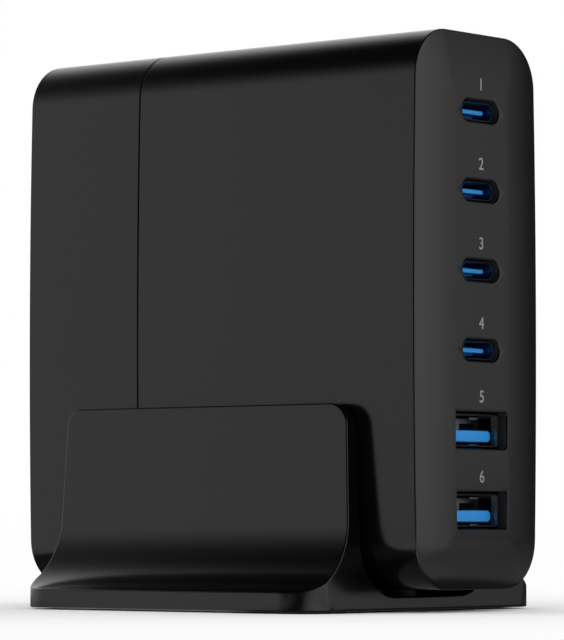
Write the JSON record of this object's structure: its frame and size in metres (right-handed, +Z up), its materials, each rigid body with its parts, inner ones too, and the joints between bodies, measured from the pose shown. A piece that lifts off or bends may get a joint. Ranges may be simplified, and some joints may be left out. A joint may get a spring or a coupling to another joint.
{
  "type": "multi port usb desktop charger",
  "caption": "Slim mains charger standing on edge in a low flared cradle, with a column of power sockets on its narrow front, a seamed rear cover and a mains inlet behind.",
  "frame": {"origin": "on the ground, under the middle of the overall box", "axes": "+Z up; the sockets face -Y; +X to the right seen from the front"},
  "size_m": [0.0654, 0.0908, 0.0987],
  "materials": {
    "housing": "satin",
    "cradle": "satin",
    "socket_steel": "satin",
    "socket_blue": "satin",
    "contact_gold": "polished",
    "inlet_black": "matte",
    "circuit_board": "satin",
    "part_black": "matte",
    "part_blue": "gloss",
    "part_yellow": "satin",
    "ferrite": "matte",
    "copper": "satin",
    "can_sleeve": "gloss",
    "can_metal": "satin",
    "spreader_metal": "satin",
    "pad_soft": "matte",
    "film": "satin",
    "pad_rubber": "matte"
  },
  "bodies": {
    "root": {"main_shell": "housing", "rear_cover": "housing", "cradle": "cradle", "port_board": "circuit_board", "main_board": "circuit_board", "usb_c_shell_1": "socket_steel", "usb_c_shell_2": "socket_steel", "usb_c_shell_3": "socket_steel", "usb_c_shell_4": "socket_steel", "usb_c_core_1": "socket_blue", "usb_c_core_2": "socket_blue", "usb_c_core_3": "socket_blue", "usb_c_core_4": "socket_blue", "usb_a_shell_1": "socket_steel", "usb_a_shell_2": "socket_steel", "usb_a_core_1": "socket_blue", "usb_a_core_2": "socket_blue", "usb_a_contacts_1": "contact_gold", "usb_a_contacts_2": "contact_gold", "ac_inlet": "inlet_black", "inlet_pin_1": "contact_gold", "inlet_pin_2": "contact_gold", "fuse": "part_black", "varistor": "part_blue", "line_choke_core": "ferrite", "line_choke_winding": "copper", "x_capacitor": "part_yellow", "bridge_rectifier": "part_black", "bulk_capacitor_1": "can_sleeve", "bulk_capacitor_2": "can_sleeve", "transformer_core": "ferrite", "transformer_winding": "copper", "power_switch": "part_black", "output_capacitor_1": "can_metal", "output_capacitor_2": "can_metal", "output_capacitor_3": "can_metal", "output_capacitor_4": "can_metal", "output_inductor_1": "ferrite", "output_inductor_2": "ferrite", "output_inductor_3": "ferrite", "output_inductor_4": "ferrite", "heat_spreader": "spreader_metal", "thermal_pad": "pad_soft", "insulation_sheet": "film", "seat_pad_1": "pad_rubber", "seat_pad_2": "pad_rubber", "side_pad_1": "pad_rubber", "side_pad_2": "pad_rubber", "foot_pad_1": "pad_rubber", "foot_pad_2": "pad_rubber", "foot_pad_3": "pad_rubber", "foot_pad_4": "pad_rubber"}
  },
  "joints": []
}
